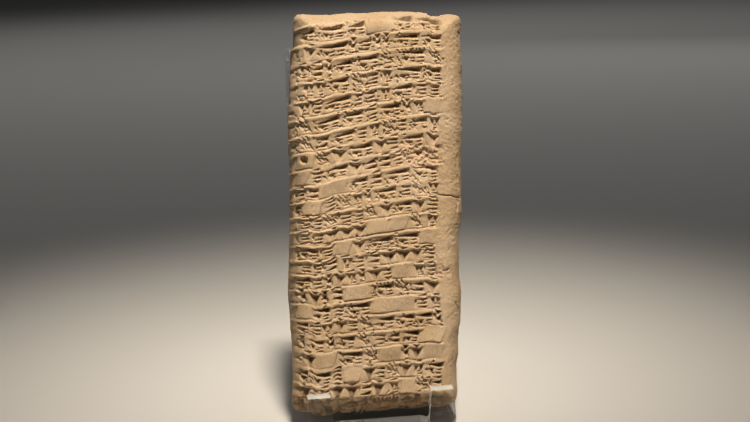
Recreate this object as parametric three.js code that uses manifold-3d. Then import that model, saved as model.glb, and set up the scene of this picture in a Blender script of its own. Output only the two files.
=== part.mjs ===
// A hand-shaped clay tablet, its face filled with rows of wedge strokes, leaning in a clear acrylic cradle.
// Millimetres, +Z up. The written face looks towards -Y and leans back; the origin is under the middle.
import * as THREE from 'three';
import { mergeVertices } from 'three/addons/utils/BufferGeometryUtils.js';
import Module from 'manifold-3d';

const wasm = await Module();
wasm.setup();

// Tablet, in its own frame: x across, z up the written face, y into the clay
const TABLET_WIDTH = 50.4;
const TABLET_HEIGHT = 116.5;
const FACE_SWELL = 10.6;
const BACK_SWELL = 13.4;
const BACK_CROWN = 2;
const EDGE_ROUND = 6.5;
const FOOT_ROUND = 5.5;
const EDGE_POWER = 2.1; // 2 is round, more is squarer
const FOOT_POWER = 1.45;
const CORNER_POWER = 8;

// Dents of the hand-shaped outline: [share along the edge, depth of the dent]
const LEFT_DENTS = [
  [0, 1], [0.06, 1], [0.19, 0.8], [0.21, 0.5], [0.31, 0], [0.63, 0], [0.65, -0.3], [0.75, -0.3], [0.77, 0],
  [0.83, 0], [0.87, 0.4], [0.905, 0.5], [0.915, 1.3], [1, 1.3],
];
const RIGHT_DENTS = [
  [0, 2.1], [0.09, 2.1], [0.13, 1.6], [0.17, 1.6], [0.21, 1], [0.27, 0.6], [0.29, 0.6], [0.33, 1.1],
  [0.43, 1.1], [0.47, 0.5], [0.49, 0.2], [0.53, 0.4], [0.87, 0.2], [0.94, 0.6], [1, 0.5],
];
const TOP_DENTS = [
  [0, 1.2], [0.21, 1.2], [0.26, 0.9], [0.34, 0.6], [0.42, 0.5], [0.5, 0.1], [0.66, 0], [0.73, 0.2],
  [0.785, 0.4], [0.81, 1.2], [0.86, 1.3], [0.885, 0.8], [0.92, 0.6], [1, 1],
];
const BOTTOM_DENTS = [
  [0, 1.6], [0.1, 1.1], [0.14, 0.1], [0.18, 0], [0.215, 0.3], [0.265, 1.1], [0.29, 0.8], [0.38, 0.8],
  [0.48, 1.2], [0.55, 1.2], [0.6, 1.5], [0.69, 1.7], [0.74, 1.7], [0.815, 2.2], [0.87, 1.8], [0.92, 2.3],
  [0.955, 3], [1, 3.6],
];

// Writing: rows from the top edge down, which fall towards the left; the last is on the lower edge
const ROW_COUNT = 23;
const TOP_MARGIN = 1;
const FOOT_MARGIN = 5.4;
const RIGHT_MARGIN = 5.2;
const LEFT_MARGIN = 1.6;
const RIGHT_INSETS = [[0, 1.6], [0.35, 2.3], [0.6, 3], [0.75, 1.5], [0.85, 0.2], [1, 0]]; // [share down, inset]
const LEAST_FALL = 1;
const EXTRA_FALL = 6.4;
const STROKE_DEPTH = 0.95;
const SMALLEST_CUT = 0.7; // lesser strokes, by length times width times depth, are left to the finish
const LEAST_BETWEEN = 0.05;
const CUT_ABOVE = 0.5;
const CLEAR_ABOVE = 2; // a cut runs on this far past its rim, so that no clay bridges it

// Cradle: one bent sheet of clear acrylic
const SHEET = 3;
const CRADLE_WIDTH = 42.2;
const CRADLE_SHIFT = 0.5; // the tablet stands a little to the left in it
const LIP_WIDTH = 6.1;
const LIP_HEIGHT = 12.8;
const LIP_TAPER = 0.7;
const LIP_SPLAY = 6;
const BEND_RADIUS = 2.5;
const TOP_BEND_RADIUS = 4;
const REST_LENGTH = 97.5;
const REST_TAPER = 1.3; // how far the rest and the leg narrow towards the top, each side
const LEG_SPLAY = 8;
const NOTCH_INSET = 2.5; // how far the gap between the lips runs into the ledge, past the bend
const NOTCH_FILLET = [2.2, 4];

// How the tablet stands in the cradle
const LEAN_BACK = 12;
const LEAN_ASIDE = 3.4;
const CONTACT_GAP = 0.3;

const BLOCK_CELLS = [16, 6, 30];
const BEND_STEPS = 7;
const CLAY = new THREE.MeshStandardMaterial({ color: '#c9a06c', roughness: 0.92, metalness: 0 });
const ACRYLIC = new THREE.MeshStandardMaterial({
  color: '#e6ecea', roughness: 0.05, metalness: 0, transparent: true, opacity: 0.35,
});
const degrees = THREE.MathUtils.degToRad;
const angleOf = (rise, run) => THREE.MathUtils.radToDeg(Math.atan2(rise, run));

function solidOf(geometry) {
  geometry.deleteAttribute('normal');
  geometry.deleteAttribute('uv');
  const merged = mergeVertices(geometry, 1e-4);
  return new wasm.Manifold(new wasm.Mesh({
    numProp: 3,
    vertProperties: new Float32Array(merged.attributes.position.array),
    triVerts: new Uint32Array(merged.index.array),
  }));
}

function geometryOf(solid) {
  const mesh = solid.getMesh();
  const geometry = new THREE.BufferGeometry();
  geometry.setAttribute('position', new THREE.BufferAttribute(new Float32Array(mesh.vertProperties), 3));
  geometry.setIndex(new THREE.BufferAttribute(new Uint32Array(mesh.triVerts), 1));
  return geometry;
}

// Park-Miller numbers from 0 to 1, so that the strokes are the same each time
function numbersFrom(seed) {
  let state = seed;
  return () => {
    state = (state * 16807) % 2147483647;
    return state / 2147483647;
  };
}

function dentAt(dents, share) {
  const after = dents.findIndex(([place]) => place >= share);
  if (after <= 0) return dents[after < 0 ? dents.length - 1 : 0][1];
  const [from, start] = dents[after - 1];
  const [to, end] = dents[after];
  const t = (share - from) / (to - from);
  return start + (end - start) * t * t * (3 - 2 * t);
}

// Moves a point of the regular rounded block to the hand-shaped outline
function toOutline(point) {
  const across = point.x / TABLET_WIDTH + 0.5;
  const up = point.z / TABLET_HEIGHT;
  const left = dentAt(LEFT_DENTS, up);
  const right = dentAt(RIGHT_DENTS, up);
  const bottom = dentAt(BOTTOM_DENTS, across);
  const top = dentAt(TOP_DENTS, across);
  point.x += left * (1 - across) - right * across;
  point.z += bottom * (1 - up) - top * up;
  return point;
}

// Where a place across and up the block lies in its rounded border: the flat core beside it, how far out
// it is from 0 to 1, and how square the section is there
function border(x, z) {
  const core = new THREE.Vector3(
    THREE.MathUtils.clamp(x, EDGE_ROUND - TABLET_WIDTH / 2, TABLET_WIDTH / 2 - EDGE_ROUND),
    0,
    THREE.MathUtils.clamp(z, FOOT_ROUND, TABLET_HEIGHT - EDGE_ROUND),
  );
  const across = Math.abs(x - core.x) / EDGE_ROUND;
  const up = Math.abs(z - core.z) / (z < core.z ? FOOT_ROUND : EDGE_ROUND);
  const footShare = z < core.z ? up ** 2 / (across ** 2 + up ** 2) : 0;
  const power = THREE.MathUtils.lerp(EDGE_POWER, FOOT_POWER, footShare);
  return { core, out: (across ** CORNER_POWER + up ** CORNER_POWER) ** (1 / CORNER_POWER), power };
}

// A point of the written face, or some way above it
function onFace(x, z, above) {
  const { out, power } = border(x, z);
  const swell = FACE_SWELL * (1 - Math.min(1, out) ** power) ** (1 / power);
  return toOutline(new THREE.Vector3(x, -swell - above, z));
}

// A block whose edges are drawn in to a swelling section, sharper in its outline than in its thickness
function tabletBody() {
  const [across, deep, tall] = BLOCK_CELLS;
  const block = new THREE.BoxGeometry(2, 2, 2, across, deep, tall);
  const place = block.attributes.position;
  const crowd = (share) => 0.45 * share + 0.55 * Math.sin((share * Math.PI) / 2);
  for (let i = 0; i < place.count; i += 1) {
    const [x, y, z] = [crowd(place.getX(i)), place.getY(i), crowd(place.getZ(i))];
    const point = new THREE.Vector3(
      (x * TABLET_WIDTH) / 2, y * (y < 0 ? FACE_SWELL : BACK_SWELL), ((z + 1) * TABLET_HEIGHT) / 2,
    );
    const { core, out, power } = border(point.x, point.z);
    point.sub(core).divideScalar((out ** power + Math.abs(y) ** power) ** (1 / power)).add(core);
    point.y += BACK_CROWN * Math.max(0, point.y / BACK_SWELL) * (1 - x ** 2) * (1 - z ** 2);
    toOutline(point);
    place.setXYZ(i, point.x, point.y, point.z);
  }
  return solidOf(block);
}

// Height of the ruling above row number row, at a place across the face
function rulingHeight(row, x) {
  const down = row / ROW_COUNT;
  const reach = (TABLET_WIDTH / 2 - RIGHT_MARGIN - x) / (TABLET_WIDTH - RIGHT_MARGIN - LEFT_MARGIN);
  const fall = LEAST_FALL + EXTRA_FALL * Math.exp(-(((down - 0.33) / 0.35) ** 2));
  const right = TABLET_HEIGHT - TOP_MARGIN - down * (TABLET_HEIGHT - TOP_MARGIN - FOOT_MARGIN);
  return right - fall * reach * (0.75 + 0.25 * reach);
}

// Rim of a stroke some height above the face, as three points across and up it. A stroke is a pit with three
// walls: a head of some width at [x, z], drawn out to a point at an angle from it
function rimOf([x, z, length, width, angle, depth], above) {
  const deepest = new THREE.Vector2(length * 0.2, 0);
  return [[0, width / 2], [0, -width / 2], [length, 0]].map(([along, aside]) => {
    const p = new THREE.Vector2(along, aside).sub(deepest).multiplyScalar(1 + above / depth).add(deepest);
    return p.rotateAround(new THREE.Vector2(), degrees(angle)).add(new THREE.Vector2(x, z));
  });
}

// True for two strokes with less than some clay left between them
function meet(stroke, other) {
  const rims = [rimOf(stroke, 0), rimOf(other, 0)];
  return rims.every((rim) => rim.every((corner, i) => {
    const side = rim[(i + 1) % 3].clone().sub(corner).normalize();
    const across = new THREE.Vector2(-side.y, side.x);
    if (rim[(i + 2) % 3].clone().sub(corner).dot(across) > 0) across.negate();
    const far = corner.dot(across) + LEAST_BETWEEN;
    return !rims.some((points) => points !== rim && points.every((p) => p.dot(across) > far));
  }));
}

// False for a stroke whose straight walls would run under the rounded border
function opensOut(stroke) {
  const rim = rimOf(stroke, CUT_ABOVE);
  return rim.every((p, i) => {
    const next = rim[(i + 1) % 3];
    const chord = (onFace(p.x, p.y, CUT_ABOVE).y + onFace(next.x, next.y, CUT_ABOVE).y) / 2;
    return chord < onFace((p.x + next.x) / 2, (p.y + next.y) / 2, 0).y - 0.1;
  });
}

function wedgeCut(stroke) {
  const [x, z, length, , angle, depth] = stroke;
  const turn = degrees(angle);
  const deepest = onFace(x + 0.2 * length * Math.cos(turn), z + 0.2 * length * Math.sin(turn), -depth);
  const rim = rimOf(stroke, CUT_ABOVE).map((p) => onFace(p.x, p.y, CUT_ABOVE));
  const clear = rim.map((p) => p.clone().setY(p.y - CLEAR_ABOVE));
  return wasm.Manifold.hull([deepest, ...rim, ...clear].map((p) => p.toArray()));
}

// One invented sign for a row of some height: its width, and its strokes as
// [left of the sign's right side, below the ruling, length, width, angle, depth]
function invent(random, height) {
  const kind = random();
  const size = random();
  const strokes = [];
  const stack = (aside, below, count, length, space, deep) => {
    for (let j = 0; j < count; j += 1) {
      strokes.push([aside, below + (space * (j + 0.5)) / count, length, (space / count) * 0.8, 180, deep]);
    }
  };
  let width = 2.8 + 1.2 * size;
  if (kind < 0.26) { // a stack of short strokes
    stack(0, height * 0.24, size < 0.7 ? 3 : 2, width, height * 0.72, 0.85);
  } else if (kind < 0.54) { // a long stroke over two short ones
    width = 5 + 4 * size;
    strokes.push([0, height * 0.38, width, height * 0.36, 180, 1.3]);
    stack(0.3, height * 0.56, 2, 2.4 + size, height * 0.4, 0.8);
    strokes.push([width * 0.66, height * 0.55, height * 0.4, 1.8, 270, 0.8]);
  } else if (kind < 0.66) { // a broad smooth flute
    width = 2.8 + 1.6 * size;
    strokes.push([width * 0.5, height * 0.24, height * 0.95, width, 268, 1]);
  } else if (kind < 0.74) { // two upright strokes
    strokes.push([0.8, height * 0.22, height * 0.8, 1.3, 270, 1]);
    strokes.push([2.2, height * 0.22, height * 0.8, 1.3, 270, 1]);
  } else if (kind < 0.85) { // slanting strokes, side by side
    width = 3.4 + size;
    for (let j = 0; j < 3; j += 1) {
      strokes.push([width * (0.92 - 0.26 * j), height * (0.32 + 0.08 * j), height * 0.62, 0.95, 314, 0.9]);
    }
  } else if (kind < 0.91) { // a hooked pit
    width = 2 + size;
    strokes.push([width * 0.15, height * 0.56, 1.9, 2.3, 180, 1.1]);
  } else { // left smooth
    width = 4 + 4 * size;
  }
  return { width, strokes };
}

// All strokes, row by row from the right: [x, z, length, width, angle, depth]
function writing() {
  const random = numbersFrom(4207);
  const strokes = [];
  const left = LEFT_MARGIN - TABLET_WIDTH / 2;
  for (let row = 0; row <= ROW_COUNT; row += 1) {
    const inset = dentAt(RIGHT_INSETS, row / ROW_COUNT);
    let right = TABLET_WIDTH / 2 - RIGHT_MARGIN - inset - 0.5 * random();
    while (right - left > 1.5) {
      const top = rulingHeight(row, right);
      const sign = invent(random, top - rulingHeight(row + 1, right));
      const slope = (top - rulingHeight(row, right - sign.width)) / sign.width;
      const fits = Math.min(1, (right - left) / sign.width);
      sign.strokes.forEach(([aside, below, length, width, angle, depth]) => {
        const flat = angle === 180;
        strokes.push([
          right - aside * fits, top - below - aside * fits * slope, flat ? length * fits : length, width,
          angle + (flat ? angleOf(slope, 1) : 0), STROKE_DEPTH * depth,
        ]);
      });
      right -= sign.width * fits + 0.2 + 0.4 * random();
    }
  }
  return strokes;
}

// The larger strokes, each clear of its neighbours; the rest are left to the finish
function carved() {
  const bulk = ([, , length, width, , depth]) => length * width * depth;
  const large = writing().filter((stroke) => bulk(stroke) > SMALLEST_CUT && opensOut(stroke));
  const kept = [];
  large.sort((a, b) => bulk(b) - bulk(a)).forEach((stroke) => {
    if (!kept.some((other) => meet(stroke, other))) kept.push(stroke);
  });
  return kept;
}

function tablet() {
  const cut = tabletBody().subtract(wasm.Manifold.union(carved().map(wedgeCut)));
  return cut.rotate([0, LEAN_ASIDE, 0]).rotate([-LEAN_BACK, 0, 0]);
}

// Outline of a sheet that runs along legs of [length, turn in degrees, inner radius], as [y, z] points
function bentOutline(start, heading, legs) {
  const sides = [[], []];
  const at = start.clone();
  let angle = degrees(heading);
  const add = () => {
    const across = new THREE.Vector2(-Math.sin(angle), Math.cos(angle)).multiplyScalar(SHEET / 2);
    sides[0].push(at.clone().add(across));
    sides[1].push(at.clone().sub(across));
  };
  add();
  legs.forEach(([length, turn, radius]) => {
    at.add(new THREE.Vector2(Math.cos(angle), Math.sin(angle)).multiplyScalar(length));
    add();
    const step = degrees(turn) / BEND_STEPS;
    const chord = 2 * (radius + SHEET / 2) * Math.sin(Math.abs(step) / 2);
    for (let i = 0; turn !== 0 && i < BEND_STEPS; i += 1) {
      angle += step / 2;
      at.add(new THREE.Vector2(Math.cos(angle), Math.sin(angle)).multiplyScalar(chord));
      angle += step / 2;
      add();
    }
  });
  return [...sides[0], ...sides[1].reverse()];
}

// Pulls a [y, z] outline out sideways to a width, about a centre across
function acrossX(outline, width, centre) {
  const shape = new THREE.Shape(outline.map((p) => new THREE.Vector2(p.x, p.y)));
  const geometry = new THREE.ExtrudeGeometry(shape, { depth: width, bevelEnabled: false });
  // The shape's axes [x, y] and depth become [y, z] and x
  const turn = new THREE.Matrix4().makeBasis(
    new THREE.Vector3(0, 1, 0), new THREE.Vector3(0, 0, 1), new THREE.Vector3(1, 0, 0),
  );
  return solidOf(geometry.applyMatrix4(turn).translate(centre - width / 2, 0, 0));
}

// Length of a straight run left when a bend takes its share of a corner
function cornerShare(turn, radius) {
  return (radius + SHEET / 2) * Math.tan(degrees(turn) / 2);
}

// The cradle: lips at the front, a ledge on the table, a rest that leans back and a leg bent down behind
function cradle(frontInside, backInside) {
  const half = SHEET / 2;
  const lipTurn = 90 - LIP_SPLAY;
  const restTurn = 90 - LEAN_BACK;
  const cornerOut = (turn) => half * (1 / Math.sin(degrees(turn)) - 1 / Math.tan(degrees(turn)));
  const frontCorner = frontInside - cornerOut(180 - lipTurn);
  const backCorner = backInside + cornerOut(180 - restTurn);
  const lipShare = cornerShare(lipTurn, BEND_RADIUS);
  const restShare = cornerShare(restTurn, BEND_RADIUS);
  const lipRun = (LIP_HEIGHT - half) / Math.sin(degrees(lipTurn)) - lipShare;
  const lipWay = new THREE.Vector2(Math.cos(degrees(-lipTurn)), Math.sin(degrees(-lipTurn)));
  const lipTop = new THREE.Vector2(frontCorner, half).addScaledVector(lipWay, -lipRun - lipShare);
  const outline = bentOutline(lipTop, -lipTurn, [
    [lipRun, lipTurn, BEND_RADIUS],
    [backCorner - frontCorner - lipShare - restShare, restTurn, BEND_RADIUS],
    [REST_LENGTH, LEAN_BACK + LEG_SPLAY - 180, TOP_BEND_RADIUS],
    [REST_LENGTH + LIP_HEIGHT, 0, 0],
  ]);
  const sheet = acrossX(outline, CRADLE_WIDTH, CRADLE_SHIFT).trimByPlane([0, 0, 1], 0);
  return sheet.subtract(notch(frontCorner)).subtract(lipTapers(frontCorner)).subtract(restTapers(backCorner));
}

// The gap between the lips, with its two fillets on the ledge
function notch(frontCorner) {
  const halfGap = CRADLE_WIDTH / 2 - LIP_WIDTH - 2 * LIP_TAPER;
  const [wide, deep] = NOTCH_FILLET;
  const floor = frontCorner + BEND_RADIUS + NOTCH_INSET;
  const front = frontCorner - LIP_HEIGHT;
  const shape = new THREE.Shape();
  shape.moveTo(-halfGap, front);
  shape.lineTo(halfGap, front);
  shape.absellipse(halfGap - wide, floor - deep, wide, deep, 0, Math.PI / 2, false);
  shape.absellipse(wide - halfGap, floor - deep, wide, deep, Math.PI / 2, Math.PI, false);
  shape.lineTo(-halfGap, front);
  const depth = LIP_HEIGHT * 3;
  const cut = new THREE.ExtrudeGeometry(shape, { depth, bevelEnabled: false, curveSegments: BEND_STEPS });
  return solidOf(cut.translate(CRADLE_SHIFT, 0, -LIP_HEIGHT));
}

// Narrows the lips towards their tops, on both sides
function lipTapers(frontCorner) {
  const foot = SHEET + BEND_RADIUS / 2;
  const top = LIP_HEIGHT + 1;
  const outer = CRADLE_WIDTH / 2;
  const inner = outer - LIP_WIDTH - 2 * LIP_TAPER;
  const depth = BEND_RADIUS + SHEET * 2;
  const sides = [[outer, -LIP_TAPER, 1], [inner, LIP_TAPER, -1]].map(([x, lean, away]) => {
    const shape = new THREE.Shape([[x, foot], [x + lean, top], [x + away, top], [x + away, foot]].map(
      ([across, up]) => new THREE.Vector2(across, up),
    ));
    const geometry = new THREE.ExtrudeGeometry(shape, { depth, bevelEnabled: false });
    return solidOf(geometry.rotateX(Math.PI / 2).translate(0, frontCorner + BEND_RADIUS, 0));
  });
  const right = sides[0].add(sides[1]);
  return right.add(right.mirror([1, 0, 0])).translate([CRADLE_SHIFT, 0, 0]);
}

// Narrows the rest and the leg towards the top bend, on both sides
function restTapers(backCorner) {
  const foot = SHEET + BEND_RADIUS * 2;
  const top = REST_LENGTH * 1.2;
  const outer = CRADLE_WIDTH / 2;
  const shape = new THREE.Shape([
    [outer, foot], [outer - REST_TAPER, top], [outer + 1, top], [outer + 1, foot],
  ].map(([across, up]) => new THREE.Vector2(across, up)));
  const geometry = new THREE.ExtrudeGeometry(shape, { depth: REST_LENGTH, bevelEnabled: false });
  const right = solidOf(geometry.rotateX(Math.PI / 2).translate(0, backCorner + REST_LENGTH, 0));
  return right.add(right.mirror([1, 0, 0])).translate([CRADLE_SHIFT, 0, 0]);
}

function cornersOf(solid) {
  const { numProp, vertProperties } = solid.getMesh();
  const points = [];
  for (let i = 0; i < vertProperties.length; i += numProp) {
    points.push(new THREE.Vector3(vertProperties[i], vertProperties[i + 1], vertProperties[i + 2]));
  }
  return points;
}

function build() {
  const leaning = tablet();
  const lowest = Math.min(...cornersOf(leaning).map((p) => p.z));
  const standing = leaning.translate([0, 0, SHEET + CONTACT_GAP - lowest]);
  const points = cornersOf(standing);
  const restSlope = Math.tan(degrees(LEAN_BACK));
  const lipSlope = Math.tan(degrees(LIP_SPLAY));
  const restGap = CONTACT_GAP / Math.cos(degrees(LEAN_BACK));
  const lipGap = CONTACT_GAP / Math.cos(degrees(LIP_SPLAY));
  const low = points.filter((p) => p.z < LIP_HEIGHT);
  const backInside = Math.max(...points.map((p) => p.y - (p.z - SHEET) * restSlope)) + restGap;
  const frontInside = Math.min(...low.map((p) => p.y + (p.z - SHEET) * lipSlope)) - lipGap;

  const part = new THREE.Group();
  const add = (name, solid, material) => {
    const mesh = new THREE.Mesh(geometryOf(solid), material);
    mesh.name = name;
    part.add(mesh);
  };
  add('tablet', standing, CLAY);
  add('cradle', cradle(frontInside, backInside), ACRYLIC);
  const box = new THREE.Box3().setFromObject(part);
  part.position.set(-(box.min.x + box.max.x) / 2, -(box.min.y + box.max.y) / 2, -box.min.z);
  return part;
}

export default build();
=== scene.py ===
"""A hand-shaped clay tablet filled with rows of wedge strokes, leaning in a clear acrylic cradle."""

import math

import bmesh
import bpy
import numpy as np
from mathutils import Matrix, Vector


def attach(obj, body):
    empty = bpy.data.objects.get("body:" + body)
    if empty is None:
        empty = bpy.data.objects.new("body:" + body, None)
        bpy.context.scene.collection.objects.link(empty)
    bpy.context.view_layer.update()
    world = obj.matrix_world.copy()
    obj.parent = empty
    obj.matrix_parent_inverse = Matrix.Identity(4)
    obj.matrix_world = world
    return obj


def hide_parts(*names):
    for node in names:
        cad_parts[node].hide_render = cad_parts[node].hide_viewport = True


bl_info = {
    "name": "Clay Tablet in an Acrylic Cradle",
    "version": (1, 0, 0),
    "blender": (4, 5, 0),
    "location": "View3D > Sidebar > Tablet",
    "description": "Dresses a cuneiform tablet and its clear cradle",
    "category": "Object",
}

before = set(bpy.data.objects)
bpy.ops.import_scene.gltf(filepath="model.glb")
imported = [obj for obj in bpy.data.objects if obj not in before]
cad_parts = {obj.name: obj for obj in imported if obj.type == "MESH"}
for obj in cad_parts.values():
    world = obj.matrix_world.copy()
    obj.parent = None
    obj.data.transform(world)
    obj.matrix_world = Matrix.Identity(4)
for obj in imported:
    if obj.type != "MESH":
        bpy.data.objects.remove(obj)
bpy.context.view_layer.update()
MM = 0.001

# The tablet's form, in millimetres, as the solid has it: x across, z up the written face, y into the clay
WIDTH, HEIGHT = 50.4, 116.5
FACE_SWELL, BACK_SWELL, BACK_CROWN = 10.6, 13.4, 2.0
EDGE_ROUND, FOOT_ROUND = 6.5, 5.5
EDGE_POWER, FOOT_POWER, CORNER_POWER = 2.1, 1.45, 8.0
# Dents of the outline: the share of the way along each side, and how deep
LEFT_DENTS = [
    (0, 1), (0.06, 1), (0.19, 0.8), (0.21, 0.5), (0.31, 0), (0.63, 0), (0.65, -0.3), (0.75, -0.3),
    (0.77, 0), (0.83, 0), (0.87, 0.4), (0.905, 0.5), (0.915, 1.3), (1, 1.3),
]
RIGHT_DENTS = [
    (0, 2.1), (0.09, 2.1), (0.13, 1.6), (0.17, 1.6), (0.21, 1), (0.27, 0.6), (0.29, 0.6), (0.33, 1.1),
    (0.43, 1.1), (0.47, 0.5), (0.49, 0.2), (0.53, 0.4), (0.87, 0.2), (0.94, 0.6), (1, 0.5),
]
TOP_DENTS = [
    (0, 1.2), (0.21, 1.2), (0.26, 0.9), (0.34, 0.6), (0.42, 0.5), (0.5, 0.1), (0.66, 0), (0.73, 0.2),
    (0.785, 0.4), (0.81, 1.2), (0.86, 1.3), (0.885, 0.8), (0.92, 0.6), (1, 1),
]
BOTTOM_DENTS = [
    (0, 1.6), (0.1, 1.1), (0.14, 0.1), (0.18, 0), (0.215, 0.3), (0.265, 1.1), (0.29, 0.8), (0.38, 0.8),
    (0.48, 1.2), (0.55, 1.2), (0.6, 1.5), (0.69, 1.7), (0.74, 1.7), (0.815, 2.2), (0.87, 1.8), (0.92, 2.3),
    (0.955, 3), (1, 3.6),
]

# The writing, as the solid has it
ROWS = 23
TOP_MARGIN, FOOT_MARGIN, RIGHT_MARGIN, LEFT_MARGIN = 1.0, 5.4, 5.2, 1.6
# How far inside the right margin the rows begin, by the share of the way down
RIGHT_INSETS = [(0, 1.6), (0.35, 2.3), (0.6, 3), (0.75, 1.5), (0.85, 0.2), (1, 0)]
LEAST_FALL, EXTRA_FALL = 1.0, 6.4
STROKE_DEPTH = 0.95
WRITING_SEED = 4207
STACK_FILL, LESSER_FILL = 0.8, 0.95  # share of its space that a stroke in a stack is wide
# Each kind of sign, with the number below which it is picked
KINDS = (
    ("stack", 0.26), ("long", 0.54), ("flute", 0.66), ("upright", 0.74), ("slant", 0.85), ("hook", 0.91),
    ("smooth", 1.01),
)

# How the tablet stands: turned in its plane, leaned back and moved, as the solid is
LEAN_ASIDE, LEAN_BACK = math.radians(3.4), math.radians(12)
PLACE = Vector((-3.6884, -26.3741, 2.7137)) * MM
STANDING = (
    Matrix.Translation(PLACE) @ Matrix.Rotation(-LEAN_BACK, 4, "X") @ Matrix.Rotation(LEAN_ASIDE, 4, "Y")
)

GRAIN = 0.1  # step of the relief's map, mm
SMALL_MARKS = 3400  # tries, most of which find no bare place
DEPTH_SEEDS = {"written": 41, "plain": 43}
UNDER_TAKES_FROM = 30  # height on the map of the marks that the bottom face takes, mm
UNDER_SHADE = 0.9  # painted shade that darkens the bottom face besides

# Damage across and up the face, in millimetres. Worn patches: place, reach and roughness
CRUMBLED = [
    (13.2, 73, 5.5, 1.0), (19, 40, 3.2, 0.8), (9.5, 75, 4, 0.8), (17, 76.5, 3, 0.7), (-19, 22, 3.5, 0.5),
]
# Place, radius and depth
HOLES = [
    (-21.2, 73.1, 1.1, 1.4), (-6, 51.1, 0.42, 1), (-7.1, 66, 0.4, 0.9), (1.5, 49.3, 0.4, 0.6),
    (5.5, 65.7, 0.4, 0.6), (-17.2, 46, 0.35, 0.5), (-10, 112.5, 0.5, 0.5),
]
# Points along it, width and depth
CRACKS = [
    ([(15.8, 62.9), (16.6, 62.9), (18.3, 62.8), (19.5, 62.2), (21, 62.1), (22.6, 61.3), (24.2, 61.3),
      (25.2, 61)], 0.24, 0.8),
    ([(-25.2, 98.2), (-24.8, 98.8), (-23.6, 99.3), (-22.3, 100.2), (-20.2, 98.9), (-18.1, 97.7)], 0.22, 0.8),
    ([(22, 31.2), (23.2, 29.1), (25, 25.8)], 0.2, 0.45),
    ([(23, 74), (23, 72.6), (23.4, 69.1)], 0.28, 0.5),
    ([(23.3, 68.4), (23.2, 65.6), (23.5, 63)], 0.28, 0.45),
    ([(23.4, 61), (23, 58.5), (22.8, 56.5)], 0.25, 0.4),
]

# Where the acrylic sheet's cut edges are, in metres
LEDGE_FRONT = (-0.034, -0.02)  # along Y, the ledge's front between the lips
LIP_TIPS = (0.0115, 0.014)  # how high the lips end
LIPS_BACK = -0.03  # along Y, behind the lips

# The point that the camera looks at and the lights are placed around
MIDDLE = Vector((-0.5, -14.23, 60.0)) * MM
# Name, direction from the middle, distance, side, power, colour, spread in degrees, and a last move
LIGHTS = (
    ("key", (0.08, -0.43, 1.12), 0.9, 0.1, 0.29, "#FFF4E4", 24, (0, 0.005, 0.03)),
    ("fill", (-1.3, -0.6, 0.7), 1.2, 0.7, 0.5, "#F4F0EA", 180, (0, 0.005, 0)),
    ("rim", (0.7, 1.3, 0.7), 1.3, 0.9, 0.8, "#FFFFFF", 180, (0, 0.005, 0)),
    ("backdrop", (0.0, 1.5, 1.3), 2.0, 1.8, 3.6, "#FFFFFF", 110, (0, 0.005, 0)),
)


# ---- Small helpers ----

def linear(hex_colour):
    """An sRGB hex colour as linear RGBA."""
    channels = [int(hex_colour[i:i + 2], 16) / 255 for i in (1, 3, 5)]
    return [c / 12.92 if c <= 0.04045 else ((c + 0.055) / 1.055) ** 2.4 for c in channels] + [1.0]


def add_node(tree, kind, inputs=None, **settings):
    """Adds a node with its settings; inputs are values, or sockets to link from."""
    node = tree.nodes.new(kind)
    for name, value in settings.items():
        setattr(node, name, value)
    for name, value in (inputs or {}).items():
        if isinstance(value, bpy.types.NodeSocket):
            tree.links.new(value, node.inputs[name])
        else:
            node.inputs[name].default_value = value
    return node


def new_material(name):
    material = bpy.data.materials.new(name)
    material.use_nodes = True
    material.node_tree.nodes.clear()
    return material, material.node_tree


def place_piece(name, mesh, node):
    """Puts a finished mesh in the scene for a CAD node."""
    piece = bpy.data.objects.new(name, mesh)
    bpy.context.scene.collection.objects.link(piece)
    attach(piece, "root")
    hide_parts(node)
    return piece


# ---- The tablet's form ----

def dent_at(dents, share):
    places, depths = np.array(dents, float).T
    share = np.clip(share, 0, 1)
    after = np.clip(np.searchsorted(places, share), 1, len(places) - 1)
    t = np.clip((share - places[after - 1]) / (places[after] - places[after - 1]), 0, 1)
    return depths[after - 1] + (depths[after] - depths[after - 1]) * t * t * (3 - 2 * t)


def to_outline(points):
    """Moves points of the regular block to the hand-shaped outline."""
    across = points[:, 0] / WIDTH + 0.5
    up = points[:, 2] / HEIGHT
    moved = points.copy()
    moved[:, 0] += dent_at(LEFT_DENTS, up) * (1 - across) - dent_at(RIGHT_DENTS, up) * across
    moved[:, 2] += dent_at(BOTTOM_DENTS, across) * (1 - up) - dent_at(TOP_DENTS, across) * up
    return moved


def rounded(block):
    """Draws the block's edges in to the swelling section of the tablet."""
    x, y, z = block.T
    points = np.stack([
        x * WIDTH / 2, y * np.where(y < 0, FACE_SWELL, BACK_SWELL), (z + 1) * HEIGHT / 2,
    ], 1)
    core = np.stack([
        np.clip(points[:, 0], EDGE_ROUND - WIDTH / 2, WIDTH / 2 - EDGE_ROUND),
        np.zeros_like(x),
        np.clip(points[:, 2], FOOT_ROUND, HEIGHT - EDGE_ROUND),
    ], 1)
    low = points[:, 2] < core[:, 2]
    across = np.abs(points[:, 0] - core[:, 0]) / EDGE_ROUND
    up = np.abs(points[:, 2] - core[:, 2]) / np.where(low, FOOT_ROUND, EDGE_ROUND)
    foot_share = np.where(low, up ** 2 / np.maximum(across ** 2 + up ** 2, 1e-12), 0)
    power = EDGE_POWER + (FOOT_POWER - EDGE_POWER) * foot_share
    out = (across ** CORNER_POWER + up ** CORNER_POWER) ** (1 / CORNER_POWER)
    size = (out ** power + np.abs(y) ** power) ** (1 / power)
    points = (points - core) / size[:, None] + core
    points[:, 1] += BACK_CROWN * np.maximum(0, points[:, 1] / BACK_SWELL) * (1 - x ** 2) * (1 - z ** 2)
    return points


# ---- The writing ----

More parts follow.
